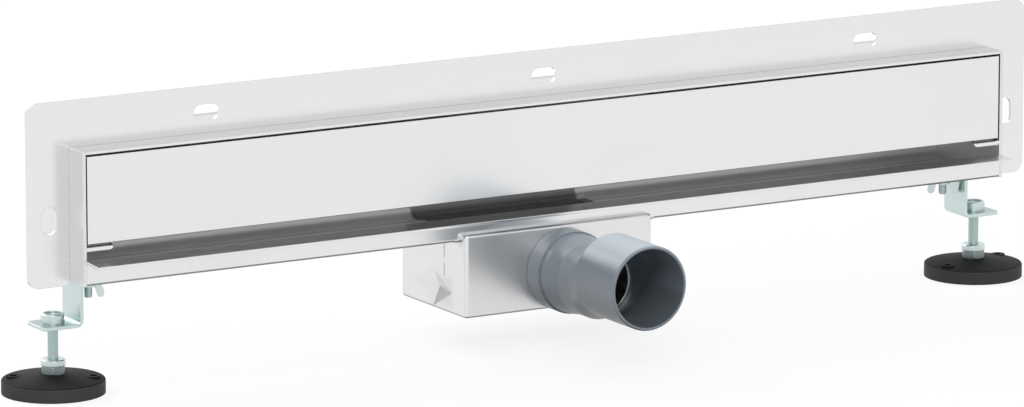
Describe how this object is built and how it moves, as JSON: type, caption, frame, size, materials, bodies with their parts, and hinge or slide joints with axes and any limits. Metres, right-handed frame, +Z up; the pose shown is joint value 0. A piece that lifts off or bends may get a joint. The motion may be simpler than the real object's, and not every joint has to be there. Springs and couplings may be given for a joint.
{
  "type": "linear shower drain",
  "caption": "Wall-side linear shower drain: folded steel channel with cover panel, wall flange, trapped sump, eccentric outlet spigot and levelling legs.",
  "frame": {"origin": "on the floor, under the middle of the whole drain's box", "axes": "+X along the channel to the right as seen from the room, +Y into the wall, +Z up"},
  "size_m": [0.6908, 0.1756, 0.1728],
  "materials": {
    "stainless": "fine brushed",
    "zinc_plated": "bright zinc plating",
    "grey_plastic": "semi-gloss moulded",
    "dark_plastic": "satin moulded",
    "seal_rubber": "matt",
    "foot_rubber": "matt moulded"
  },
  "bodies": {
    "root": {"adapter_seal": "seal_rubber", "bracket_stud_left": "zinc_plated", "bracket_stud_right": "zinc_plated", "channel_trough": "stainless", "collar_nut_left": "zinc_plated", "collar_nut_right": "zinc_plated", "cover_pad_left": "seal_rubber", "cover_pad_right": "seal_rubber", "cover_panel": "stainless", "cover_rest_left": "stainless", "cover_rest_right": "stainless", "end_plate_left": "stainless", "end_plate_right": "stainless", "foot_nut_left": "zinc_plated", "foot_nut_right": "zinc_plated", "foot_pad_left": "foot_rubber", "foot_pad_right": "foot_rubber", "leg_bracket_left": "zinc_plated", "leg_bracket_right": "zinc_plated", "levelling_bolt_left": "zinc_plated", "levelling_bolt_right": "zinc_plated", "outlet_adapter": "grey_plastic", "outlet_stub": "stainless", "sump_box": "stainless", "tab_nut_left": "zinc_plated", "tab_nut_right": "zinc_plated", "trap_cup": "dark_plastic", "trap_inlet": "dark_plastic", "trap_seal": "seal_rubber", "wall_flange": "stainless", "wing_nut_left": "zinc_plated", "wing_nut_right": "zinc_plated"}
  },
  "joints": []
}
